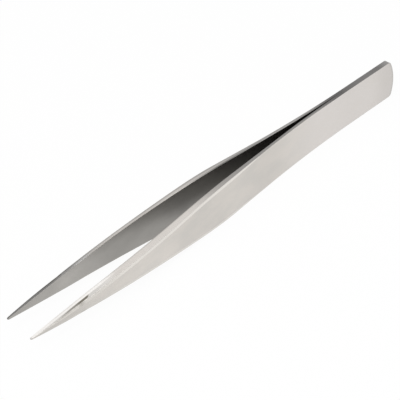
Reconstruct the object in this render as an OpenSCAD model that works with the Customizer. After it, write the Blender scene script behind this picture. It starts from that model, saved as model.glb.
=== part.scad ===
// Pointed tweezers: two long steel arms welded together at the tail, which spring apart
// to a pair of strong sharp points.
//
// X runs from the tail to the points, Y is the way the arms open and Z is the width of the
// arms. The tweezers stand on the long edges of their handle: the origin is under the middle
// of the length, in the plane between the arms. Positions named "from the tail" are measured
// from the end of the tail.

/* [Overall] */
// Length from the end of the tail to the points
overall_length = 120; // [114:1:140]
// Width of the handle
handle_width = 10.7; // [9:0.1:12]
// Gap between the points when nothing presses the arms
tip_gap = 8.2; // [5:0.1:12]

/* [Tail] */
// Thickness of one arm at the tail and along its spring
tail_thickness = 0.8; // [0.6:0.05:1.1]
// Length over which the two arms lie closed against each other
closed_length = 16; // [15:1:24]
// Radius of the rounded end of the tail
tail_end_radius = 12; // [7:0.5:20]
// Radius of the two corners of the tail
tail_corner_radius = 1.2; // [0.5:0.1:2]

/* [Welds] */
// Number of spot welds that hold the two arms together
weld_count = 2; // [1:1:2]
// Distance of the first spot weld from the end of the tail
weld_first = 5.5; // [3.5:0.5:6]
// Distance from one spot weld to the next
weld_pitch = 7; // [5:0.5:7]
// Diameter of a weld where the arms touch
weld_diameter = 3; // [2:0.1:4]
// Diameter of a weld at its two ends, inside the arms
weld_end_diameter = 2.2; // [1.4:0.1:3]
// Depth that a weld reaches into each arm
weld_depth = 0.35; // [0.2:0.05:0.45]
// Clearance round a weld
weld_clearance = 0.02; // [0:0.01:0.05]

/* [Spring] */
// Where the outward bend ends, from the tail
bend_end = 40; // [32:1:50]
// Where the arm begins to swing as one piece, in the middle of the spring, from the tail
swing_start = 30; // [27:1:31]

/* [Arm] */
// Thickness of an arm in front of the spring
front_thickness = 1.5; // [1.1:0.05:1.8]
// Where the arm begins to thicken, from the tail
swell_start = 42; // [36:1:48]
// Where the arm is at its full thickness, from the tail
swell_end = 66; // [56:1:76]
// Where the sides leave the full width, from the tail
shoulder_start = 59; // [50:1:66]
// Length of the rounded shoulder between the handle and the taper
shoulder_length = 14; // [6:1:24]
// How far the tapered sides bow outwards
side_bow = 0.3; // [0:0.05:0.6]
// Where the arm begins to turn parallel to the other arm, from the tail
straighten_start = 77; // [72:1:84]
// Where the arms run parallel, from the tail
straighten_end = 97; // [88:1:100]

/* [Ground edges] */
// How far the side edges slope down towards the outer face, over the arm's thickness
edge_slope = 0.55; // [0:0.05:0.65]
// Where that slope begins, from the tail
slope_start = 60; // [54:1:66]
// Where that slope has its full height, from the tail
slope_full = 88; // [76:1:98]
// Width of the bevel between the side edges and the outer face
bevel_width = 0.6; // [0.3:0.05:0.75]
// Depth of the same bevel
bevel_depth = 0.13; // [0.07:0.01:0.2]
// Width and depth of the same edge where the arm is left almost square
edge_break = 0.06; // [0.03:0.01:0.1]
// Where the bevel begins, from the tail
bevel_start = 48; // [44:1:54]
// Where the bevel has its full width, from the tail
bevel_full = 60; // [56:1:72]

/* [Points] */
// Width of a point
tip_width = 0.4; // [0.25:0.05:0.8]
// Thickness of a point
tip_thickness = 0.45; // [0.2:0.05:0.6]
// Length over which the outer face curves in to the point
point_length = 19; // [10:1:24]
// Length of the flat ground into the side edges of each point
flat_length = 15.5; // [8:0.5:20]
// Distance from the inner face to that flat
flat_height = 0.62; // [0.4:0.02:0.8]
// Depth that the flat is ground away beside the bevel
flat_depth = 0.08; // [0.04:0.02:0.2]
// Length over which the flat runs in
flat_run_in = 1.2; // [0.5:0.1:3]

/* [Hidden] */
$fn = 96;

half_width = handle_width / 2;
tip_half_width = tip_width / 2;
shoulder_end = shoulder_start + shoulder_length;
flat_start = overall_length - flat_length;
satin_steel = [0.80, 0.79, 0.77];
weld_steel = [0.62, 0.61, 0.60];

// Greatest spacing of the cross-sections along an arm, and of the points along a curve
section_step = 1.5;
curve_step = 1;

// Height at x of a curve whose slope grows evenly from 0 at a to 1 at b and then stays 1
function eased_rise(x, a, b) =
    let (run = min(max(x - a, 0), b - a))
    run * run / (2 * (b - a)) + max(x - b, 0);

// Share from 0 to 1 that goes smoothly from 0 at a to 1 at b
function smooth_share(x, a, b) =
    let (u = min(max((x - a) / (b - a), 0), 1))
    u * u * (3 - 2 * u);

// Evenly spaced places from a to b, no further apart than step
function places(a, b, step) =
    let (count = ceil((b - a) / step))
    [for (i = [0 : count]) a + (b - a) * i / count];

// Inner face: closed at the tail, bent outwards, then turned parallel in front
function opening_at(x) =
    eased_rise(x, closed_length, bend_end) - eased_rise(x, straighten_start, straighten_end);
opening_slope = tip_gap / 2 / opening_at(overall_length);
function inner_y(x) = opening_slope * opening_at(x);

// Thickness: thin spring, thicker front, then curved in to the point
function thickness_at(x) =
    let (point_share = max(x - overall_length + point_length, 0) / point_length)
    tail_thickness
        + (front_thickness - tail_thickness) * smooth_share(x, swell_start, swell_end)
        - (front_thickness - tip_thickness) * point_share * point_share;

// Half the width: straight handle, rounded shoulder, then a slightly bowed taper
taper_run = overall_length - shoulder_end;
taper_slope = (half_width - tip_half_width - 4 * side_bow) / (taper_run + shoulder_length / 2);
function half_width_at(x) =
    let (taper_share = max(x - shoulder_end, 0) / taper_run)
    let (bow_share = 4 * taper_share * (1 - taper_share))
    let (taper_top = half_width - taper_slope * shoulder_length / 2)
    x < shoulder_end
        ? half_width - taper_slope * eased_rise(x, shoulder_start, shoulder_end)
        : taper_top + (tip_half_width - taper_top) * taper_share + side_bow * bow_share;

// Depth of the outline that trims the tail, more than both arms span there
trim_depth = 4 * (inner_y(swing_start) + tail_thickness);

// Outline of the cross-section at x, as a list of [y, z]: inner face, sloped side edge,
// ground flat, bevel and outer face, the same above and below
function section(x) =
    let (thickness = thickness_at(x))
    let (slim_share = min(half_width_at(x) / half_width_at(flat_start), 1))
    let (drop = edge_slope * smooth_share(x, slope_start, slope_full) * slim_share)
    let (bevel_share = smooth_share(x, bevel_start, bevel_full))
    let (width = (edge_break + (bevel_width - edge_break) * bevel_share) * slim_share)
    let (depth = (edge_break + (bevel_depth - edge_break) * bevel_share) * slim_share)
    let (flat_share = smooth_share(x, flat_start, flat_start + flat_run_in) * slim_share)
    let (side = thickness - depth)
    let (ground_side = side - flat_depth * flat_share)
    let (low = min(flat_height, 0.8 * ground_side))
    let (inner = inner_y(x))
    let (top = half_width_at(x))
    let (upper = [
        [inner, top],
        [inner + low, top - drop * low / side],
        [inner + ground_side, top - drop],
        [inner + thickness, top - drop - width],
    ])
    concat(upper, [for (i = [len(upper) - 1 : -1 : 0]) [upper[i][0], -upper[i][1]]]);

// Moves what is drawn from the tail onwards, about mid-width, to its place
module in_place() {
    translate([-overall_length / 2, 0, half_width]) children();
}

module mirrored_arm() {
    mirror([0, 1, 0]) children();
}

// Solid through the cross-sections at the given places
module lofted(stations) {
    sides = len(section(stations[0]));
    last = len(stations) - 1;
    points = [for (x = stations) for (p = section(x)) [x, p[0], p[1]]];
    walls = [
        for (i = [0 : last - 1])
            for (j = [0 : sides - 1])
                let (a = i * sides + j)
                let (b = i * sides + (j + 1) % sides)
                for (face = [[a, b, b + sides], [a, b + sides, a + sides]]) face
    ];
    rungs = [for (j = [0 : sides / 2 - 2]) [j, j + 1, sides - 2 - j, sides - 1 - j]];
    rear_cap = [for (r = rungs) [r[3], r[2], r[1], r[0]]];
    front_cap = [for (r = rungs) [for (j = r) last * sides + j]];
    polyhedron(points, concat(walls, rear_cap, front_cap));
}

// Face of the tail seen from the side: an arc for its end, with rounded corners
module tail_outline() {
    corner_z = half_width - tail_corner_radius;
    reach = tail_end_radius - tail_corner_radius;
    corner_x = tail_end_radius - sqrt(reach * reach - corner_z * corner_z);
    corner_share = tail_end_radius / reach;
    arc_corner = [tail_end_radius - (tail_end_radius - corner_x) * corner_share, corner_z * corner_share];
    translate([corner_x, -half_width]) square([swing_start - corner_x, handle_width]);
    intersection() {
        translate([tail_end_radius, 0]) circle(r = tail_end_radius);
        polygon([
            [tail_end_radius, 0],
            2 * arc_corner - [tail_end_radius, 0],
            [2 * arc_corner[0] - tail_end_radius, -2 * arc_corner[1]],
        ]);
    }
    for (side = [-1, 1])
        translate([corner_x, side * corner_z]) circle(r = tail_corner_radius);
}

// Tail of one arm seen from above: closed against the other arm, then bent outwards
module tail_profile() {
    bend = places(closed_length, swing_start, curve_step);
    polygon(concat(
        [[0, 0]],
        [for (x = bend) [x, inner_y(x)]],
        [for (i = [len(bend) - 1 : -1 : 0]) [bend[i], inner_y(bend[i]) + tail_thickness]],
        [[0, tail_thickness]]
    ));
}

// Welds: lens-shaped nuggets, widest where the arms touch
module weld_nuggets(clearance) {
    for (i = [0 : weld_count - 1]) {
        translate([weld_first + i * weld_pitch, 0, 0])
            for (side = [-90, 90])
                rotate([side, 0, 0])
                    cylinder(
                        h = weld_depth,
                        d1 = weld_diameter + 2 * clearance,
                        d2 = weld_end_diameter + 2 * clearance
                    );
    }
}

module tail() {
    difference() {
        intersection() {
            linear_extrude(height = handle_width, center = true) tail_profile();
            rotate([90, 0, 0])
                linear_extrude(height = trim_depth, center = true) tail_outline();
        }
        weld_nuggets(weld_clearance);
    }
}

module left_tail() {
    color(satin_steel) in_place() tail();
}

module right_tail() {
    color(satin_steel) in_place() mirrored_arm() tail();
}

module weld_spots() {
    color(weld_steel) in_place() weld_nuggets(0);
}

// Swinging part of an arm, with closer cross-sections where the ground flat runs in
module arm() {
    lofted(concat(
        places(swing_start, flat_start, section_step),
        [flat_start + flat_run_in / 2],
        places(flat_start + flat_run_in, overall_length, section_step)
    ));
}

module left_arm() {
    color(satin_steel) in_place() arm();
}

module right_arm() {
    color(satin_steel) in_place() mirrored_arm() arm();
}

left_tail();
right_tail();
weld_spots();
left_arm();
right_arm();
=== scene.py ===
"""Dressed model of pointed steel tweezers: two satin arms, welded at the tail and sprung apart."""

import math

import bpy
from mathutils import Matrix, Vector


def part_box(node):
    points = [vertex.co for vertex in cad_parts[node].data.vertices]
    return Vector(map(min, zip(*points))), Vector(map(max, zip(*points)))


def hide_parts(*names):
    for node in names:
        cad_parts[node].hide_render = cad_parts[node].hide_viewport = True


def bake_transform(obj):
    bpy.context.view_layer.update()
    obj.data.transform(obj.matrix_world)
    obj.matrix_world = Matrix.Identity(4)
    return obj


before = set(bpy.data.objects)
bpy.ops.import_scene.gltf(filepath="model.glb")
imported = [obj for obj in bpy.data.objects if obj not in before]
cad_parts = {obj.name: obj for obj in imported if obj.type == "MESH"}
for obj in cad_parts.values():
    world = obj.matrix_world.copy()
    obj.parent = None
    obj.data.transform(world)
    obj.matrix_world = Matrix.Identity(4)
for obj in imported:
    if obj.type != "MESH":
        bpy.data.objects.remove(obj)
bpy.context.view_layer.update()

bl_info = {
    "name": "Pointed Tweezers",
    "version": (1, 0, 0),
    "blender": (4, 5, 0),
    "location": "3D View > Sidebar > Tweezers",
    "description": "Models a pair of pointed steel tweezers, finishes them and lights them",
    "category": "Object",
}

MM = 0.001
TAIL_LOW, TAIL_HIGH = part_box("left_tail")
ARM_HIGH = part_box("left_arm")[1]

# Rest place of each point of an arm, in millimetres: along from the tail, above the inner face
# and across from mid-width
PLACE = "rest_place"


def length(label, about, value):
    """A size that a user can change, in metres."""
    return bpy.props.FloatProperty(
        name=label, description=about, default=value, min=0, precision=5,
        subtype="DISTANCE", unit="LENGTH",
    )


def angle(label, about, degrees):
    """An angle that a user can change."""
    return bpy.props.FloatProperty(
        name=label, description=about, default=math.radians(degrees),
        subtype="ANGLE", unit="ROTATION",
    )


def share(label, about, value, high=1.0):
    """A plain number that a user can change."""
    return bpy.props.FloatProperty(name=label, description=about, default=value, min=0, max=high)


def colour(label, about, value):
    """A colour that a user can change, in linear values."""
    return bpy.props.FloatVectorProperty(
        name=label, description=about, default=value, size=3, min=0, max=1, subtype="COLOR"
    )


class TweezerSizes(bpy.types.PropertyGroup):
    """Sizes of the arms. Places are measured from the end of the tail."""

    overall_length: length("Length", "From the tail's end to the points", ARM_HIGH.x - TAIL_LOW.x)
    handle_width: length("Handle width", "Width of the handle", TAIL_HIGH.z - TAIL_LOW.z)
    tip_gap: length("Tip gap", "Gap between the open points", 8.2 * MM)
    tail_thickness: length("Tail thickness", "Thickness of the steel at the tail", 0.8 * MM)
    closed_length: length("Closed length", "Where the arms begin to part", 16 * MM)
    tail_end_radius: length("Tail end radius", "Radius of the rounded end of the tail", 12 * MM)
    tail_corner_radius: length("Tail corner radius", "Radius of the tail's corners", 1.2 * MM)
    bend_end: length("Bend end", "Where the outward bend ends", 40 * MM)
    front_thickness: length("Front thickness", "Thickness of the steel in front", 1.5 * MM)
    swell_start: length("Swell start", "Where an arm begins to thicken", 42 * MM)
    swell_end: length("Swell end", "Where an arm has its full thickness", 66 * MM)
    shoulder_start: length("Shoulder start", "Where the sides leave the full width", 59 * MM)
    shoulder_length: length("Shoulder length", "Length of the rounded shoulder", 14 * MM)
    side_bow: length("Side bow", "How far the tapered sides bow outwards", 0.3 * MM)
    straighten_start: length("Straighten start", "Where an arm begins to straighten", 77 * MM)
    straighten_end: length("Straighten end", "Where the arms run parallel", 97 * MM)
    tip_width: length("Tip width", "Width of a point", 0.4 * MM)
    tip_thickness: length("Tip thickness", "Thickness of a point", 0.45 * MM)
    point_length: length("Point length", "Length over which the outer face curves in", 19 * MM)
    flex_start: length("Flex start", "Where a squeezed arm begins to bend", 16 * MM)
    flex_end: length("Flex end", "Where a squeezed arm stops bending", 42 * MM)


class TweezerEdges(bpy.types.PropertyGroup):
    """Ground edges of the arms. Places are measured from the end of the tail."""

    edge_slope: length("Edge slope", "How far the side edges slope down outwards", 0.55 * MM)
    slope_start: length("Slope start", "Where that slope begins", 60 * MM)
    slope_full: length("Slope full", "Where that slope has its full height", 88 * MM)
    bevel_width: length("Bevel width", "Width of the bevel beside the outer face", 0.6 * MM)
    bevel_depth: length("Bevel depth", "Depth of that bevel", 0.13 * MM)
    edge_break: length("Edge break", "Size of that edge where it is almost square", 0.06 * MM)
    bevel_start: length("Bevel start", "Where the bevel begins", 48 * MM)
    bevel_full: length("Bevel full", "Where the bevel has its full width", 60 * MM)
    inner_round: length("Inner round", "Rounding of the inner face's edges, in front", 0.12 * MM)
    closed_round: length("Closed round", "Rounding of those edges, where closed", 0.004 * MM)
    tail_round: length("Tail round", "Rounding of the edge at the tail's end", 0.1 * MM)
    tail_round_end: length("Tail round end", "Where that rounding has faded", 3 * MM)
    corner_round: length("Corner round", "Size of the softened corners of the bevel", 0.06 * MM)
    flat_length: length("Flat length", "Length of the flat ground beside each point", 15.5 * MM)
    flat_height: length("Flat height", "Distance from the inner face to that flat", 0.62 * MM)
    flat_depth: length("Flat depth", "Depth of that flat beside the bevel", 0.08 * MM)
    flat_run_in: length("Flat run-in", "Length over which the flat runs in", 1.2 * MM)
    tip_nose: length("Tip nose", "Length over which the end of a point rounds off", 0.4 * MM)


class SteelFinish(bpy.types.PropertyGroup):
    """Colours and roughness of the steel."""

    # Painted reflection: the satin faces are given a lighter tone at the tail
    face_tail: colour("Face, tail", "Tone of the satin faces at the tail", (0.695, 0.662, 0.635))
    face_warm: colour("Face, warm", "Warmer tone of the satin faces", (0.66, 0.626, 0.585))
    face_cool: colour("Face, cool", "Cooler tone of the satin faces", (0.625, 0.6, 0.565))
    # Painted shade: the inner faces are darker than the outer faces
    inner_tone: colour("Inner face", "Tone of the inner faces", (0.46, 0.445, 0.42))
    # Painted reflection: the ground edges' tones go from dark at the tail to near white at the
    # points. The bevel is brighter partly by its polish and partly by painted reflection
    point_edge_tone: colour("Point edge", "Tone of the points' edges", (0.97, 0.945, 0.915))
    edge_tone: colour("Side edge", "Tone of the side edges in front", (0.72, 0.682, 0.643))
    handle_edge_tone: colour("Handle edge", "Tone of the handle's edges", (0.465, 0.45, 0.436))
    tail_edge_tone: colour("Tail edge", "Tone of the tail's edges", (0.275, 0.266, 0.26))
    bevel_tone: colour("Bevel", "Tone of the polished bevels", (0.785, 0.754, 0.71))
    # Painted shade and reflection: the flats beside the points are given a dark tone
    flat_tone: colour("Point flat", "Tone of the flats beside the points", (0.2, 0.185, 0.155))
    weld_tone: colour("Weld", "Tone of the welds", (0.36, 0.34, 0.33))
    # Painted reflection: the right arm's side edges are made brighter than the left arm's
    right_edge_gain: share("Right edge", "How much brighter the right arm's side edges are", 0.26)
    face_roughness: share("Face roughness", "Roughness of the satin faces", 0.32)
    inner_roughness: share("Inner roughness", "Roughness of the inner faces", 0.36)
    edge_roughness: share("Edge roughness", "Roughness of the ground edges", 0.2)
    bevel_roughness: share("Bevel roughness", "Roughness of the polished bevels", 0.22)


class StudioSetup(bpy.types.PropertyGroup):
    """Camera, lights and floor."""

    aim: bpy.props.FloatVectorProperty(
        name="Aim", description="Point that the camera looks at",
        default=(7.345 * MM, 0, 6.99 * MM), size=3, precision=5,
        subtype="TRANSLATION", unit="LENGTH",
    )
    camera_distance: length("Camera distance", "From the aim to the camera", 267.19 * MM)
    camera_side: angle("Camera side", "Direction of the camera from +X towards +Y", 53.2)
    camera_height: angle("Camera height", "Angle of the camera above the floor", 40.51)
    camera_roll: angle("Camera roll", "Turn of the camera about its own axis", -8.17)
    lens: bpy.props.FloatProperty(
        name="Lens", description="Focal length, in millimetres for a 36 mm sensor",
        default=103.2, min=1,
    )
    floor_tone: colour("Floor", "Colour of the floor", (0.95, 0.95, 0.95))
    floor_glow: share("Floor glow", "Share of plain white that the floor shows", 0.93)
    world_low: share("World, low", "Brightness of the world at the sides", 0.57, high=4)
    world_high: share("World, high", "Brightness of the world overhead", 0.92, high=4)
    world_dark: share("World, dark", "Brightness of the world's darker side", 0.19, high=4)
    key_strength: share("Key", "Radiance of the large lamp beside the camera", 2.2, high=100)
    side_strength: share("Side", "Radiance of the large lamp beyond the points", 1.0, high=100)


# Shape of an arm

# Greatest steps along the outline, in radians on the arcs and in millimetres elsewhere
END_ARC_STEP = math.radians(2)
CORNER_ARC_STEP = math.radians(7)
NOSE_STEP = math.radians(15)
HANDLE_STEP = 1.0
RUN_IN_STEP = 0.2
POINT_STEP = 0.6
# Part of one step that may be left over by rounding
ROUNDING = 1e-9

# How much of the square of its size a point loses at its very end
NOSE_LOSS = 0.9
# Share of the side edge's height that lies below its middle corner, at most
LOW_SHARE_AT_POINT = 0.8
LOW_SHARE = 0.5
# The inner edge loses this share of its rounding over this run before the flat, in millimetres
KEEN_LOSS = 0.8
KEEN_RUN = 6

# Size of a softened corner: as a share of the tail's rounding, of the bevel's depth beside the
# side edge, and of the shorter of the two lengths that meet in it, at most
TAIL_SOFTNESS = 0.33
BEVEL_SOFTNESS = 0.45
MOST_SOFTNESS = 0.3
# Steps round a softened corner, and the place of the row of points on each side of it that keeps
# the flats flat, as a multiple of its size
SOFT_STEPS = 4
HOLD = 1.5
# Length of the faces beside the first and the last corner that counts there, in millimetres
FACE_RUN = 1


def smooth_share(x, a, b):
    """Share from 0 to 1 that goes smoothly from 0 at a to 1 at b."""
    u = min(max((x - a) / (b - a), 0), 1)
    return u * u * (3 - 2 * u)


def eased_rise(x, a, b):
    """Height at x of a curve whose slope grows evenly from 0 at a to 1 at b and then stays 1."""
    run = min(max(x - a, 0), b - a)
    return run * run / (2 * (b - a)) + max(x - b, 0)


def places(a, b, step):
    """Evenly spaced places from a to b, no further apart than step."""
    count = math.ceil((b - a) / step - ROUNDING)
    return [a + (b - a) * i / count for i in range(count + 1)]


def in_millimetres(group):
    """The sizes of a property group by name, in millimetres."""
    sizes = group.bl_rna.properties
    return {name: getattr(group, name) / MM for name in sizes.keys() if sizes[name].type == "FLOAT"}


class Arm:
    """Shape of one arm, in millimetres. X runs from the end of the tail to the point."""

    def __init__(self, sizes, edges):
        vars(self).update(in_millimetres(sizes))
        vars(self).update(in_millimetres(edges))
        self.half_width = self.handle_width / 2
        self.tip_half_width = self.tip_width / 2
        self.shoulder_end = self.shoulder_start + self.shoulder_length
        self.flat_start = self.overall_length - self.flat_length
        self.opening_slope = self.tip_gap / 2 / self.opening(self.overall_length)
        self.taper_run = self.overall_length - self.shoulder_end
        self.taper_slope = (self.half_width - self.tip_half_width - 4 * self.side_bow) / (
            self.taper_run + self.shoulder_length / 2
        )

    def opening(self, x):
        """Rise of the inner face: closed at the tail, bent outwards, then turned parallel."""
        bent = eased_rise(x, self.closed_length, self.bend_end)
        return bent - eased_rise(x, self.straighten_start, self.straighten_end)

    def inner_y(self, x):
        """Distance of the inner face from the middle plane."""
        return self.opening_slope * self.opening(x)

    def thickness(self, x):
        """Thin spring, thicker front, then curved in to the point."""
        swell = smooth_share(x, self.swell_start, self.swell_end)
        point_share = max(x - self.overall_length + self.point_length, 0) / self.point_length
        return (
            self.tail_thickness
            + (self.front_thickness - self.tail_thickness) * swell
            - (self.front_thickness - self.tip_thickness) * point_share**2
        )

    def nose(self, x):
        """Share of its size that a point keeps on the way to its very end."""
        run = max(x - self.overall_length + self.tip_nose, 0) / self.tip_nose
        return math.sqrt(1 - NOSE_LOSS * run**2)

    def lift(self, x):
        """How far the end of the point rounds off from the inner face."""
        return self.thickness(x) * (1 - self.nose(x)) / 2

    def taper_width(self, x):
        """Half the width of the blank, without the rounding of its two ends."""
        if x < self.shoulder_end:
            fall = self.taper_slope * eased_rise(x, self.shoulder_start, self.shoulder_end)
            return self.half_width - fall
        run = (x - self.shoulder_end) / self.taper_run
        top = self.half_width - self.taper_slope * self.shoulder_length / 2
        return top + (self.tip_half_width - top) * run + self.side_bow * 4 * run * (1 - run)

    def tail_outline(self):
        """Upper half of the rounded end of the tail: end arc and corner arc."""
        radius, corner_radius = self.tail_end_radius, self.tail_corner_radius
        corner_z = self.half_width - corner_radius
        reach = radius - corner_radius
        corner_x = radius - math.sqrt(reach**2 - corner_z**2)
        arc_angle = math.asin(corner_z / reach)
        arc = [
            (radius * (1 - math.cos(a)), radius * math.sin(a))
            for a in places(0, arc_angle, END_ARC_STEP)
        ]
        corner = [
            (corner_x + corner_radius * math.cos(a), corner_z + corner_radius * math.sin(a))
            for a in reversed(places(math.pi / 2, math.pi - arc_angle, CORNER_ARC_STEP))
        ]
        return arc + corner[1:]

    def outline(self):
        """Upper half of the outline as [x, half width], from the tail to the end of the point."""
        points = self.tail_outline()
        flat_in = self.flat_start + self.flat_run_in
        nose_start = self.overall_length - self.tip_nose
        along = places(points[-1][0], self.flat_start, HANDLE_STEP)[1:]
        along += places(self.flat_start, flat_in, RUN_IN_STEP)[1:]
        along += places(flat_in, nose_start, POINT_STEP)[1:]
        points += [(x, self.taper_width(x)) for x in along]
        for a in places(0, math.pi / 2, NOSE_STEP)[1:]:
            x = nose_start + self.tip_nose * math.sin(a)
            points.append((x, self.taper_width(x) * self.nose(x)))
        points.append((self.overall_length, 0))
        return points

    def ground_share(self, x):
        """How far the flat beside the point has run in."""
        return smooth_share(x, self.flat_start, self.flat_start + self.flat_run_in)

    def corners(self, x, half_width):
        """Corners of the cross-section's edge, from the inner to the outer face.

        Each one is [inset from the outline, height above the inner face, size when softened].
        """
        thickness = self.thickness(x) * self.nose(x)
        slim = min(self.taper_width(x) / self.taper_width(self.flat_start), 1)
        if x > self.flat_start:
            slim *= min(half_width / self.tip_half_width, 1)
        drop = self.edge_slope * smooth_share(x, self.slope_start, self.slope_full) * slim

        beveled = smooth_share(x, self.bevel_start, self.bevel_full)
        rounded = self.tail_round * (1 - smooth_share(x, 0, self.tail_round_end))
        width, depth = (
            max((self.edge_break + (full - self.edge_break) * beveled) * slim, rounded)
            for full in (self.bevel_width, self.bevel_depth)
        )
        side = thickness - depth
        ground_side = side - self.flat_depth * self.ground_share(x) * slim
        low_share = LOW_SHARE_AT_POINT if x > self.flat_start else LOW_SHARE
        low = min(self.flat_height, low_share * ground_side)

        parted = smooth_share(x, self.closed_length, self.bevel_start)
        parted *= 1 - KEEN_LOSS * smooth_share(x, self.flat_start - KEEN_RUN, self.flat_start)
        inner = (self.closed_round + (self.inner_round - self.closed_round) * parted) * slim
        soft = max(self.corner_round * slim, rounded * TAIL_SOFTNESS)
        return [
            (0, 0, inner),
            (drop * low / side, low, self.corner_round * slim),
            (drop, ground_side, min(soft, depth * BEVEL_SOFTNESS)),
            (drop + width, thickness, soft),
        ]

    def section(self, x, half_width):
        """Edge of the cross-section from the inner to the outer face, with softened corners."""
        corners = self.corners(x, half_width)
        # Both faces run on inwards from the first and the last corner
        ends = [(corners[i][0] + FACE_RUN, corners[i][1]) for i in (0, -1)]
        path = [Vector(p) for p in ends[:1] + [c[:2] for c in corners] + ends[1:]]
        points = []
        for i, (_, _, size) in enumerate(corners):
            corner = path[i + 1]
            back, onward = path[i] - corner, path[i + 2] - corner
            size = min(size, MOST_SOFTNESS * back.length, MOST_SOFTNESS * onward.length)
            back, onward = back.normalized() * size, onward.normalized() * size
            if i > 0:
                points.append(corner + back * HOLD)
            for step in range(SOFT_STEPS + 1):
                t = step / SOFT_STEPS
                points.append(corner + back * (1 - t) ** 2 + onward * t**2)
            if i < len(corners) - 1:
                points.append(corner + onward * HOLD)
        return points


# Shader maths

# Middle value of a noise
NOISE_MIDDLE = 0.5


class Signal:
    """An output of a node, so that shader maths reads as plain sums."""

    def __init__(self, finish, socket):
        self.finish = finish
        self.socket = socket

    def maths(self, operation, *values):
        """Result of a Math node."""
        return self.finish.node("ShaderNodeMath", dict(enumerate(values)), operation=operation)

    def __add__(self, other):
        return self.maths("ADD", self, other)

    def __sub__(self, other):
        return self.maths("SUBTRACT", self, other)

    def __mul__(self, other):
        return self.maths("MULTIPLY", self, other)

    def __rsub__(self, other):
        return self.maths("SUBTRACT", other, self)

    __radd__ = __add__
    __rmul__ = __mul__

    def above(self, other):
        """1 where this value is the greater one, and 0 elsewhere."""
        return self.maths("GREATER_THAN", self, other)

    def larger(self, other):
        """The larger one of the two values."""
        return self.maths("MAXIMUM", self, other)

    def sway(self, amount):
        """This noise as a change about zero, by that amount from its least to its greatest."""
        return (self - NOISE_MIDDLE) * amount

    def from_to(self, low, high, low_value=0.0, high_value=1.0):
        """Goes smoothly from one value to the other as this one goes from low to high."""
        inputs = {
            "Value": self, "From Min": low, "From Max": high,
            "To Min": low_value, "To Max": high_value,
        }
        return self.finish.node("ShaderNodeMapRange", inputs, interpolation_type="SMOOTHSTEP")

    def course(self, *stops):
        """Goes smoothly from stop to stop, each one a value of this signal and the result there."""
        total = stops[0][1]
        for (low, before), (high, after) in zip(stops, stops[1:]):
            if after != before:
                total = total + self.from_to(low, high, 0.0, after - before)
        return total

    def stretched(self, by):
        """This vector, multiplied part by part."""
        inputs = {0: self, 1: by}
        return self.finish.node("ShaderNodeVectorMath", inputs, operation="MULTIPLY")

    def parts(self):
        """X, Y and Z of this vector."""
        split = self.finish.node("ShaderNodeSeparateXYZ", {"Vector": self})
        return [Signal(self.finish, socket) for socket in split.socket.node.outputs]


class Finish:
    """Nodes of a new material or world, from its output and surface shader onwards."""

    def __init__(self, owner, surface="ShaderNodeBsdfPrincipled", end="ShaderNodeOutputMaterial"):
        owner.use_nodes = True
        self.owner = owner
        self.tree = owner.node_tree
        self.tree.nodes.clear()
        self.surface = self.tree.nodes.new(surface)
        self.tree.links.new(self.surface.outputs[0], self.tree.nodes.new(end).inputs["Surface"])

    def node(self, kind, inputs, output=0, **settings):
        """Adds a node, sets its settings and then its inputs, and gives one of its outputs."""
        node = self.tree.nodes.new(kind)
        for name, value in settings.items():
            setattr(node, name, value)
        self.feed(node.inputs, inputs)
        return Signal(self, node.outputs[output])

    def feed(self, sockets, inputs):
        """Links or sets the sockets that the inputs name."""
        for name, value in inputs.items():
            socket = sockets[name]
            if isinstance(value, Signal):
                self.tree.links.new(value.socket, socket)
            elif socket.type == "RGBA":
                socket.default_value = (*value, 1)
            else:
                socket.default_value = value

    def set(self, **inputs):
        """Feeds the surface shader: an underscore in a name stands for a space."""
        named = {name.replace("_", " "): value for name, value in inputs.items()}
        self.feed(self.surface.inputs, named)

    def blend(self, factor, a, b):
        """Colour that goes from a to b as the factor goes from 0 to 1."""
        node = self.tree.nodes.new("ShaderNodeMix")
        node.data_type = "RGBA"
        sockets = {socket.name: socket for socket in node.inputs if socket.enabled}
        self.feed(sockets, {"Factor": factor, "A": a, "B": b})
        return Signal(self, next(socket for socket in node.outputs if socket.enabled))

    def scaled(self, tone, shade):
        """Colour made lighter or darker by a signal."""
        return self.node("ShaderNodeVectorMath", {0: tone, "Scale": shade}, operation="SCALE")

    def noise(self, vector, waves, detail=2.0, roughness=0.5):
        """Noise with that many waves to a unit of the vector."""
        inputs = {"Vector": vector, "Scale": waves, "Detail": detail, "Roughness": roughness}
        return self.node("ShaderNodeTexNoise", inputs)

    def object_place(self):
        """Place of the surface in the frame, in metres."""
        return self.node("ShaderNodeTexCoord", {}, output="Object")

    def bumped(self, height, depth):
        """Normal of a surface with that height, in metres at a height of 1."""
        inputs = {"Height": height, "Distance": depth, "Strength": 1.0}
        return self.node("ShaderNodeBump", inputs)


class ArmFinish(Finish):
    """A finish of the arms, which stays in its place on the steel when an arm bends.

    All its distances are in millimetres.
    """

    def __init__(self, name, arm):
        super().__init__(bpy.data.materials.new(name))
        self.arm = arm
        self.place = self.node("ShaderNodeAttribute", {}, output="Vector", attribute_name=PLACE)
        self.along, self.height, self.across = self.place.parts()

    def pattern(self, waves, detail=2.0, roughness=0.5):
        """Noise with those waves to a millimetre along the arm, up its edges and across it."""
        return self.noise(self.place.stretched(waves), 1.0, detail, roughness)


def lit_by(tone, factor):
    """A colour made lighter or darker by one number."""
    return [part * factor for part in tone]
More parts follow.
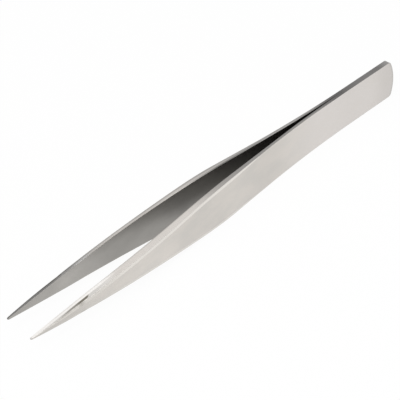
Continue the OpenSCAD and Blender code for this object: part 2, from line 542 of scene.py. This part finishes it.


# Finishes of the steel

# Values along an arm, as stops: the distance from the tail in millimetres, and the value there
# Painted reflection: where the lighter tone of the faces at the tail gives way
REAR_TONE = (26, 1.0), (46, 0.0)
# Painted shade: the satin faces darker at the end of the tail and near the point
SATIN_ENDS = (2, 0.92), (9, 1.0), (104, 1.0), (109, 0.92)
# Painted reflection and shade along the outer faces
OUTER_FACE = (
    (2, 0.97), (16, 0.98), (26, 1.0), (38, 1.0), (48, 0.957), (61, 1.0), (75, 1.0), (84, 1.045),
    (108, 1.0),
)
# Painted shade on the inner faces: darkest where the gap between the arms is narrow, with painted
# reflection further on
INNER_FACE = (24, 0.17), (34, 0.56), (54, 0.56), (64, 0.77), (76, 0.73), (88, 0.75), (106, 1.0)
# Painted shade on the inner face behind the middle of the handle's front
INNER_SHADE_ALONG = (54, 0.0), (64, 1.0), (69, 1.0), (80, 0.0)
# Painted light and shade: the ground edges made lighter and darker along the tail
TAIL_EDGES = (1, 2.0), (5.5, 1.12), (9, 1.24), (13, 1.2), (17, 1.0), (20, 0.84), (24, 1.0)
# Painted shade on the inner rim of the ground edges, beside the gap between the arms and along the
# front
RIM_SHADE_ALONG = (
    (20, 0.0), (26, 0.35), (31, 0.38), (35, 0.0), (62, 0.0), (72, 0.15), (112, 0.15), (117, 0.0),
)
# Painted reflection and shade on the right arm's side edges, along the arm
RIGHT_EDGE_GAIN = (
    (23, 0.0), (30, 1.0), (72, 1.0), (84, 0.7), (97, 0.8), (103, -0.7), (106, -0.7), (109, -0.15),
)
RIGHT_EDGE_TILT = (50, 0.0), (64, 1.0), (98, 1.0), (103, 0.0)
RIGHT_RIM_SHADE = (42, 0.0), (50, 0.35), (58, 0.65), (64, 0.4), (70, 0.0)
# Painted reflection: the ground edges' tones change along the arm
# Where the tones of the ground edges go over into each other, along an arm
TONE_CHANGES = (22, 31), (46, 77), (95, 101)

# Values across an inner face, as stops: the distance from mid-width, and the value there
# Painted shade across the inner face
INNER_SHADE_ACROSS = (-3, 0.4), (-0.5, 1.0), (0.7, 1.0), (4.2, 0.0)

# Values up a ground edge, as stops: the height above the inner face, and the value there
# Painted shade up the inner rim of the ground edges
RIM_SHADE_UP = (0.1, 1.0), (0.4, 0.0)
# Painted reflection and shade up the right arm's side edges
RIGHT_TILT_UP = (0.35, 0.85), (1.15, -1.0)
RIGHT_RIM_SHADE_UP = (0.15, 1.0), (0.5, 0.0)

# Painted shade: how much darker the steel is painted, as stops: the distance from the end of the
# tail or of a point, and the value there
TAIL_RIM = (0.1, 0.14), (0.9, 0.0)
POINT_END_SHADE = (0.1, 0.3), (0.6, 0.0)

# Waves of each pattern to a millimetre: along the arm, up its edges and across it
STREAKS = 0.5, 9, 9
GRAIN = 13, 13, 13
MOTTLE = 0.16, 0.32, 0.32
LINES = 6, 0.5, 0.5
BANDS = 0.5, 0.1, 0.1
WANDER = 0.8, 2, 2
# Waves of the weld metal to a metre
WELD_CELLS = 4000

# Depth of the relief of each finish
SATIN_RELIEF = 0.0012 * MM
GROUND_RELIEF = 0.0001 * MM
WELD_RELIEF = 0.02 * MM


def end_shade(finish):
    """Painted shade: a darker rim round the end of the tail, and darker ends of the points."""
    radius = finish.arm.tail_end_radius
    from_centre = finish.node(
        "ShaderNodeVectorMath", {0: finish.place.stretched((1, 0, 1)), 1: (radius, 0, 0)},
        output="Value", operation="DISTANCE",
    )
    at_tail = finish.along.from_to(radius / 2, radius / 2 + 2, 1.0, 0.0)
    rim = (radius - from_centre).course(*TAIL_RIM) * at_tail
    return 1 - rim - (finish.arm.overall_length - finish.along).course(*POINT_END_SHADE)


def satin(name, arm, tones, roughness, shades, painted_shade=0.0):
    """Satin steel: blasted grain, faint lengthwise streaks, a slow change of tone, and painted
    shade and reflection along the arm.
    """
    finish = ArmFinish(name, arm)
    rear, warm, cool = tones
    streaks = finish.pattern(STREAKS, detail=3.0)
    grain = finish.pattern(GRAIN)
    mottle = finish.pattern(MOTTLE, detail=3.0)
    tone = finish.blend(mottle.from_to(0.35, 0.65), warm, cool)
    at_rear = finish.along.course(*REAR_TONE) * mottle.from_to(0.3, 0.6, 0.7, 1.0)
    tone = finish.blend(at_rear, tone, rear)
    shade = (1 + streaks.sway(0.08) + grain.sway(0.1)) * end_shade(finish)
    # Painted shade and reflection along the arm
    shade = shade * finish.along.course(*SATIN_ENDS) * finish.along.course(*shades)
    # Painted shade: a darker patch on the inner face behind the middle of the handle's front
    if painted_shade:
        shade_patch = finish.along.course(*INNER_SHADE_ALONG) * finish.across.course(*INNER_SHADE_ACROSS)
        shade = shade * (1 - shade_patch * painted_shade)
    finish.set(
        Base_Color=finish.scaled(tone, shade), Metallic=1.0,
        Roughness=roughness + streaks.sway(0.12) + mottle.sway(0.1),
        Normal=finish.bumped(streaks * 0.5 + grain * 0.5, SATIN_RELIEF),
    )


def right_edge_shade(finish, most):
    """Side edges of the right arm against those of the left one.

    They are painted brighter on the handle, and painted darker at the start of the flat. In front
    they are painted brighter towards the inner face, but for a painted shade on the rim beside the
    shoulder.
    """
    # Painted reflection and shade: only the right arm's side edges are scaled
    right = 1 - finish.object_place().parts()[1].above(0.0)
    gain = finish.along.course(*RIGHT_EDGE_GAIN)
    tilt = finish.along.course(*RIGHT_EDGE_TILT) * finish.height.course(*RIGHT_TILT_UP)
    rim_shade = finish.along.course(*RIGHT_RIM_SHADE) * finish.height.course(*RIGHT_RIM_SHADE_UP)
    return (1 + right * (gain + tilt) * most) * (1 - right * rim_shade)


def painted_flat_shade(finish, most_shade_ahead):
    """Dark mark of the flat beside a point: it runs in at a slant and thins out on its way.

    Distances are past the start of the flat, and heights above the inner face.
    """
    # Painted shade and reflection: the flat and the steel beside it are painted dark
    past = finish.along - finish.arm.flat_start
    height = finish.height
    wander = finish.pattern(WANDER)
    begins = (past - height + wander.sway(0.5)).from_to(-1.45, -0.55)
    fades = past.course((2, 1.0), (4, 0.85), (11, 0.25))
    ground_off = (height - past.from_to(3, 9, 0.0, 0.1)).from_to(0.58, 0.68)
    spread = past.course((0.8, 0.15), (2.4, 0.42), (3.6, 0.1))
    reach = past.from_to(6, 12, 0.0, 0.2)
    outer = (height + wander.sway(0.2) + reach).from_to(0.95, 1.25, 1.0, spread)
    # Painted shade on the upper edge for the run ahead of the flat
    shade_ahead = past.from_to(-12, -1, 0.0, most_shade_ahead) * height.from_to(0.45, 0.8)
    return (begins * fades * ground_off * outer).larger(shade_ahead)


def ground(name, arm, tones, roughness, steel, shade_ahead, lower_shade=1.0):
    """Ground steel with fine lines across it, its tones given from the tail to the point, with
    painted shade and reflection.
    """
    finish = ArmFinish(name, arm)
    lines = finish.pattern(LINES, roughness=0.6)
    bands = finish.pattern(BANDS)
    tone = tones[0]
    for (low, high), onward in zip(TONE_CHANGES, tones[1:]):
        tone = finish.blend(finish.along.from_to(low, high), tone, onward)
    tone = finish.scaled(tone, 1 + lines.sway(0.05) + bands.sway(0.1))
    # Painted shade and reflection of the flat beside the point
    tone = finish.blend(painted_flat_shade(finish, shade_ahead), tone, steel.flat_tone)
    shade = right_edge_shade(finish, steel.right_edge_gain) * end_shade(finish)
    # Painted shade: the inner rim of the ground edges is darker
    painted_rim_shade = finish.along.course(*RIM_SHADE_ALONG) * finish.height.course(*RIM_SHADE_UP)
    shade = shade * (1 - painted_rim_shade) * finish.along.course(*TAIL_EDGES)
    if lower_shade != 1:
        shade = shade * finish.across.from_to(-0.1, 0.1, lower_shade, 1.0)
    finish.set(
        Base_Color=finish.scaled(tone, shade), Metallic=1.0,
        Roughness=roughness + lines.sway(0.06), Normal=finish.bumped(lines, GROUND_RELIEF),
    )


def arm_materials(steel, arm):
    """The four finishes of the arms."""
    outer = steel.face_tail, steel.face_warm, steel.face_cool
    inner = steel.inner_tone, steel.inner_tone, lit_by(steel.inner_tone, 0.95)
    # Painted reflection: edge tones go from dark at the tail to near white at the point
    edge = steel.tail_edge_tone, steel.handle_edge_tone, steel.edge_tone, steel.point_edge_tone
    bevel = steel.tail_edge_tone, steel.bevel_tone
    satin("satin_face", arm, outer, steel.face_roughness, OUTER_FACE)
    satin("inner_face", arm, inner, steel.inner_roughness, INNER_FACE, painted_shade=0.3)
    ground("side_edge", arm, edge, steel.edge_roughness, steel, shade_ahead=0.4)
    ground("polished_bevel", arm, bevel, steel.bevel_roughness, steel, shade_ahead=0.15, lower_shade=0.88)


def weld_material(steel):
    """Dull metal of the welds."""
    finish = Finish(bpy.data.materials.new("weld_metal"))
    cells = finish.noise(finish.object_place(), WELD_CELLS, detail=4.0)
    finish.set(
        Base_Color=finish.blend(cells, lit_by(steel.weld_tone, 0.7), steel.weld_tone),
        Metallic=1.0, Roughness=0.45 + cells.sway(0.3), Normal=finish.bumped(cells, WELD_RELIEF),
    )
    return finish.owner


# Modelling

# Finishes of an arm. The side edge and the bevel each have two of the softened corners, with
# their rows of faces from the inner to the outer face
FINISHES = ["satin_face", "inner_face", "side_edge", "polished_bevel"]
EDGE_ROWS = 2 * (SOFT_STEPS + 3)
BEVEL_ROWS = 2 * SOFT_STEPS + 3
ROW_FINISH = ["side_edge"] * EDGE_ROWS + ["polished_bevel"] * BEVEL_ROWS

# Columns of faces from mid-width to the edge. The last one is this narrow in millimetres, or this
# share of the half width where that is less, which keeps the faces flat
HALF_COLUMNS = 3
LAST_COLUMN = 0.06
LAST_COLUMN_SHARE = 0.2

# Points of an arm closer than this are one point, in millimetres, and its edges from this angle
# on stay sharp
MERGE_DISTANCE = 0.0005
SHARP_ANGLE = math.radians(30)


def only(piece):
    """Selects one object and nothing else."""
    bpy.ops.object.select_all(action="DESELECT")
    piece.select_set(True)
    bpy.context.view_layer.objects.active = piece


def layered_blank(name, stations, columns, rows):
    """A sheet of faces, extruded row by row.

    X, Y and Z of a point are its station, its share across from mid-width and its row.
    """
    bpy.ops.object.select_all(action="DESELECT")
    bpy.ops.mesh.primitive_grid_add(x_subdivisions=stations - 1, y_subdivisions=columns, size=2)
    piece = bpy.context.object
    piece.name = piece.data.name = name
    bpy.ops.object.mode_set(mode="EDIT")
    bpy.ops.mesh.select_all(action="SELECT")
    for _ in range(rows):
        bpy.ops.mesh.extrude_region_move(TRANSFORM_OT_translate={"value": (0, 0, 1)})
    bpy.ops.object.mode_set(mode="OBJECT")
    return piece


def give_finishes(piece):
    """Gives a layered blank its finishes, and each of its faces the one of its row."""
    for name in FINISHES:
        piece.data.materials.append(bpy.data.materials[name])
    for face in piece.data.polygons:
        half_rows = round(2 * face.center.z)
        if half_rows == 0:
            finish = "inner_face"
        elif half_rows == 2 * len(ROW_FINISH):
            finish = "satin_face"
        else:
            finish = ROW_FINISH[half_rows // 2]
        face.material_index = FINISHES.index(finish)


def outward(points, index):
    """Direction out of the outline at one of its points."""
    if index == 0:
        return Vector((-1, 0))
    if index == len(points) - 1:
        return Vector((1, 0))
    run = Vector(points[index + 1]) - Vector(points[index - 1])
    return Vector((-run.y, run.x)).normalized()


def form_arm(piece, arm, points, side):
    """Moves each point of the blank to its place on the arm, and keeps that for the finishes."""
    sections = [arm.section(x, half_width) for x, half_width in points]
    lifts = [arm.lift(x) for x, _ in points]
    directions = [outward(points, i) for i in range(len(points))]
    last = len(points) - 1
    kept = piece.data.attributes.new(PLACE, "FLOAT_VECTOR", "POINT")
    for vertex in piece.data.vertices:
        station = round((vertex.co.x + 1) / 2 * last)
        across, row = vertex.co.y, round(vertex.co.z)
        inset, height = sections[station][row]
        height += lifts[station]
        out = directions[station]
        x = points[station][0] - inset * out.x
        edge = max(points[station][1] - inset * out.y, 0)
        z = across * edge
        if round(abs(across) * HALF_COLUMNS) == HALF_COLUMNS - 1:
            z = math.copysign(max(edge - LAST_COLUMN, edge * (1 - LAST_COLUMN_SHARE)), across)
        kept.data[vertex.index].vector = (x, height, z)
        vertex.co = (x, side * (arm.inner_y(x) + height), z)


def finish_mesh(piece):
    """Closes the ends, turns every face outwards and smooths all but the real edges."""
    only(piece)
    bpy.ops.object.mode_set(mode="EDIT")
    bpy.ops.mesh.select_all(action="SELECT")
    bpy.ops.mesh.remove_doubles(threshold=MERGE_DISTANCE)
    bpy.ops.mesh.dissolve_degenerate(threshold=MERGE_DISTANCE)
    bpy.ops.mesh.normals_make_consistent(inside=False)
    bpy.ops.object.mode_set(mode="OBJECT")
    bpy.ops.object.shade_smooth_by_angle(angle=SHARP_ANGLE)


def in_frame(arm, x):
    """Place in the frame of a point at mid-width, x from the tail."""
    return Vector(((x - arm.overall_length / 2) * MM, 0, arm.half_width * MM))


def settle(piece, arm):
    """Brings a piece from millimetres along the arm to its place in the frame."""
    only(piece)
    piece.scale = (MM, MM, MM)
    piece.location = in_frame(arm, 0)
    bpy.ops.object.transform_apply(location=True, rotation=True, scale=True)


class TWEEZERS_OT_steel(bpy.types.Operator):
    """Make the finishes of the steel"""

    bl_idname = "tweezers.steel"
    bl_label = "Steel finishes"

    def execute(self, context):
        scene = context.scene
        arm_materials(scene.steel_finish, Arm(scene.tweezer_sizes, scene.tweezer_edges))
        return {"FINISHED"}


class TWEEZERS_OT_arm(bpy.types.Operator):
    """Model one arm from the tail to its point, as a leaf of steel"""

    bl_idname = "tweezers.arm"
    bl_label = "Arm"

    side: bpy.props.EnumProperty(
        name="Side", description="Which arm",
        items=[("left", "Left", "Arm on the +Y side"), ("right", "Right", "Arm on the -Y side")],
    )

    def execute(self, context):
        arm = Arm(context.scene.tweezer_sizes, context.scene.tweezer_edges)
        points = arm.outline()
        name = f"{self.side}_leaf"
        piece = layered_blank(name, len(points), 2 * HALF_COLUMNS, len(ROW_FINISH))
        give_finishes(piece)
        form_arm(piece, arm, points, 1 if self.side == "left" else -1)
        finish_mesh(piece)
        settle(piece, arm)
        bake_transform(piece)
        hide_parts(f"{self.side}_tail", f"{self.side}_arm")
        return {"FINISHED"}


class TWEEZERS_OT_welds(bpy.types.Operator):
    """Finish the spot welds inside the tail"""

    bl_idname = "tweezers.welds"
    bl_label = "Spot welds"

    def execute(self, context):
        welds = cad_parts["weld_spots"]
        welds.data.materials.clear()
        welds.data.materials.append(weld_material(context.scene.steel_finish))
        return {"FINISHED"}


# Stage

# Side of the floor, its distance below the object, and the distance of the lamps, in metres
FLOOR_SIZE = 6
FLOOR_DROP = 0.02 * MM
LAMP_DISTANCE = 0.8
# Width of the camera's sensor in millimetres, and what it can see in metres
SENSOR_WIDTH = 36
NEAREST_SEEN, FARTHEST_SEEN = 0.01, 20

# The world changes between these heights, as shares of straight up
OVERHEAD = 0.65, 0.92
HORIZON = 0.12, 0.2
# Middle of its darker side, and the cosines of the angles from there at which that side ends and
# the white horizon begins
DARK_MIDDLE = 0.25, -0.933, 0.259
DARK_SIDE = 0.835, 0.865
AWAY_FROM_DARK = 0.3, 0.6


def direction(side, height):
    """Direction at the first angle from +X towards +Y, and at the second above the floor."""
    level = math.cos(height)
    return Vector((level * math.cos(side), level * math.sin(side), math.sin(height)))


def softbox(name, aim, side, height, size, radiance):
    """A large square lamp that looks at the aim, as bright as its radiance whatever its size."""
    bpy.ops.object.light_add(type="AREA")
    lamp = bpy.context.object
    lamp.name = name
    lamp.data.size = size
    lamp.data.energy = radiance * math.pi * size**2
    away = direction(side, height)
    lamp.location = Vector(aim) + away * LAMP_DISTANCE
    lamp.rotation_euler = away.to_track_quat("Z", "Y").to_euler()


def floor_material(studio):
    """Pale floor that looks nearly white and still takes the object's shadow."""
    finish = Finish(bpy.data.materials.new("pale_floor"), "ShaderNodeMixShader")
    seen, mirrored, through = (
        finish.node("ShaderNodeLightPath", {}, output=kind)
        for kind in ("Is Camera Ray", "Is Glossy Ray", "Is Transmission Ray")
    )
    shown = seen.larger(mirrored).larger(through)
    lit = finish.node("ShaderNodeBsdfDiffuse", {"Color": studio.floor_tone})
    white = finish.node("ShaderNodeEmission", {"Color": (1, 1, 1), "Strength": 1.0})
    finish.feed(finish.surface.inputs, {0: shown * studio.floor_glow, 1: lit, 2: white})
    return finish.owner


def set_world(studio):
    """Plain world, brighter overhead, white at the horizon, and darker at one side."""
    world = bpy.data.worlds.new("studio")
    bpy.context.scene.world = world
    finish = Finish(world, "ShaderNodeBackground", "ShaderNodeOutputWorld")
    outwards = finish.node("ShaderNodeTexCoord", {}, output="Generated")
    up = outwards.parts()[2]
    behind = finish.node(
        "ShaderNodeVectorMath", {0: outwards, 1: DARK_MIDDLE},
        output="Value", operation="DOT_PRODUCT",
    )
    plain = up.from_to(*OVERHEAD, studio.world_low, studio.world_high)
    horizon = up.from_to(*HORIZON, 1.0, 0.0) * behind.from_to(*AWAY_FROM_DARK, 1.0, 0.0)
    plain = plain + horizon * (1 - studio.world_low)
    darker = behind.from_to(*DARK_SIDE) * (studio.world_low - studio.world_dark)
    finish.set(Color=(1, 1, 1), Strength=plain - darker)


def set_camera(studio):
    """Camera at the photograph's place, angle and lens."""
    bpy.ops.object.camera_add()
    camera = bpy.context.object
    camera.name = "camera"
    away = direction(studio.camera_side, studio.camera_height)
    camera.location = Vector(studio.aim) + away * studio.camera_distance
    turn = away.to_track_quat("Z", "Y").to_matrix() @ Matrix.Rotation(studio.camera_roll, 3, "Z")
    camera.rotation_euler = turn.to_euler()
    camera.data.sensor_width = SENSOR_WIDTH
    camera.data.lens = studio.lens
    camera.data.clip_start = NEAREST_SEEN
    camera.data.clip_end = FARTHEST_SEEN
    bpy.context.scene.camera = camera


class TWEEZERS_OT_stage(bpy.types.Operator):
    """Set the floor, the world, the lamps and the camera"""

    bl_idname = "tweezers.stage"
    bl_label = "Stage"

    def execute(self, context):
        studio = context.scene.studio_setup
        context.scene.view_settings.view_transform = "Standard"
        bpy.ops.object.select_all(action="DESELECT")
        bpy.ops.mesh.primitive_plane_add(size=FLOOR_SIZE, location=(0, 0, -FLOOR_DROP))
        floor = context.object
        floor.name = "floor"
        bpy.ops.object.transform_apply(location=True, rotation=True, scale=True)
        floor.data.materials.append(floor_material(studio))
        set_world(studio)
        softbox(
            "key_lamp", studio.aim, side=math.radians(62), height=math.radians(62), size=0.5,
            radiance=studio.key_strength,
        )
        softbox(
            "side_lamp", studio.aim, side=math.radians(5), height=math.radians(50), size=0.6,
            radiance=studio.side_strength,
        )
        set_camera(studio)
        return {"FINISHED"}


class TWEEZERS_PT_panel(bpy.types.Panel):
    """Sizes, finishes and steps of the tweezers"""

    bl_idname = "TWEEZERS_PT_panel"
    bl_label = "Pointed Tweezers"
    bl_space_type = "VIEW_3D"
    bl_region_type = "UI"
    bl_category = "Tweezers"

    def draw(self, context):
        for name in GROUPS:
            group = getattr(context.scene, name)
            box = self.layout.box()
            box.label(text=type(group).__doc__)
            for setting in group.bl_rna.properties.keys():
                if setting not in ("rna_type", "name"):
                    box.prop(group, setting)
        self.layout.operator("tweezers.steel")
        self.layout.operator("tweezers.arm", text="Left arm").side = "left"
        self.layout.operator("tweezers.arm", text="Right arm").side = "right"
        self.layout.operator("tweezers.welds")
        self.layout.operator("tweezers.stage")


GROUPS = {
    "tweezer_sizes": TweezerSizes, "tweezer_edges": TweezerEdges,
    "steel_finish": SteelFinish, "studio_setup": StudioSetup,
}
CLASSES = [
    *GROUPS.values(),
    TWEEZERS_OT_steel, TWEEZERS_OT_arm, TWEEZERS_OT_welds, TWEEZERS_OT_stage, TWEEZERS_PT_panel,
]


def register():
    for item in CLASSES:
        bpy.utils.register_class(item)
    for name, group in GROUPS.items():
        setattr(bpy.types.Scene, name, bpy.props.PointerProperty(type=group))


def unregister():
    for name in GROUPS:
        delattr(bpy.types.Scene, name)
    for item in reversed(CLASSES):
        bpy.utils.unregister_class(item)


def main():
    """Makes the tweezers and their stage."""
    register()
    bpy.ops.tweezers.steel()
    bpy.ops.tweezers.arm(side="left")
    bpy.ops.tweezers.arm(side="right")
    bpy.ops.tweezers.welds()
    bpy.ops.tweezers.stage()


if __name__ == "__main__":
    main()
